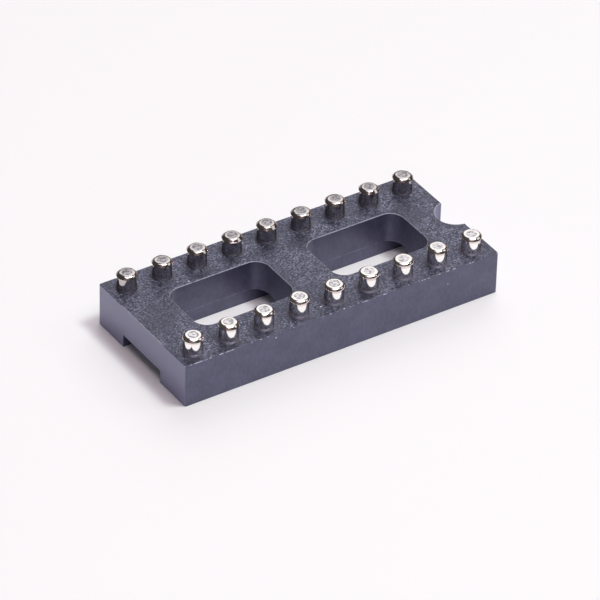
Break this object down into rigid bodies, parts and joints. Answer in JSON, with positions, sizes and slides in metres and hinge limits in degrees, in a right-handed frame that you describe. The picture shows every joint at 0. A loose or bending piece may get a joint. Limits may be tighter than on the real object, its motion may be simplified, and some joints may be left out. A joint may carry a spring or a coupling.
{
  "type": "socket header",
  "caption": "Low dual-in-line socket header with turned contacts, an open-frame insulator with a half-round end notch, and short round solder feet for surface mounting.",
  "frame": {"origin": "middle of the mating face, where the box's bottom face has its centre", "axes": "+X along the contact rows to the notched end, +Z from the mating face to the solder feet, +Y across the rows away from the row that starts with contact 1"},
  "size_m": [0.0228, 0.01, 0.0042],
  "materials": {
    "insulator_plastic": "moulded glass-filled thermoplastic, dark slate, fine matte grain",
    "tin_plating": "turned brass with bright tin plating",
    "gold_plating": "formed copper alloy with gold plating"
  },
  "bodies": {
    "root": {"insulator_body": "insulator_plastic", "contact_sleeve_01": "tin_plating", "contact_sleeve_02": "tin_plating", "contact_sleeve_03": "tin_plating", "contact_sleeve_04": "tin_plating", "contact_sleeve_05": "tin_plating", "contact_sleeve_06": "tin_plating", "contact_sleeve_07": "tin_plating", "contact_sleeve_08": "tin_plating", "contact_sleeve_09": "tin_plating", "contact_sleeve_10": "tin_plating", "contact_sleeve_11": "tin_plating", "contact_sleeve_12": "tin_plating", "contact_sleeve_13": "tin_plating", "contact_sleeve_14": "tin_plating", "contact_sleeve_15": "tin_plating", "contact_sleeve_16": "tin_plating", "contact_sleeve_17": "tin_plating", "contact_sleeve_18": "tin_plating", "contact_clip_01": "gold_plating", "contact_clip_02": "gold_plating", "contact_clip_03": "gold_plating", "contact_clip_04": "gold_plating", "contact_clip_05": "gold_plating", "contact_clip_06": "gold_plating", "contact_clip_07": "gold_plating", "contact_clip_08": "gold_plating", "contact_clip_09": "gold_plating", "contact_clip_10": "gold_plating", "contact_clip_11": "gold_plating", "contact_clip_12": "gold_plating", "contact_clip_13": "gold_plating", "contact_clip_14": "gold_plating", "contact_clip_15": "gold_plating", "contact_clip_16": "gold_plating", "contact_clip_17": "gold_plating", "contact_clip_18": "gold_plating"}
  },
  "joints": []
}
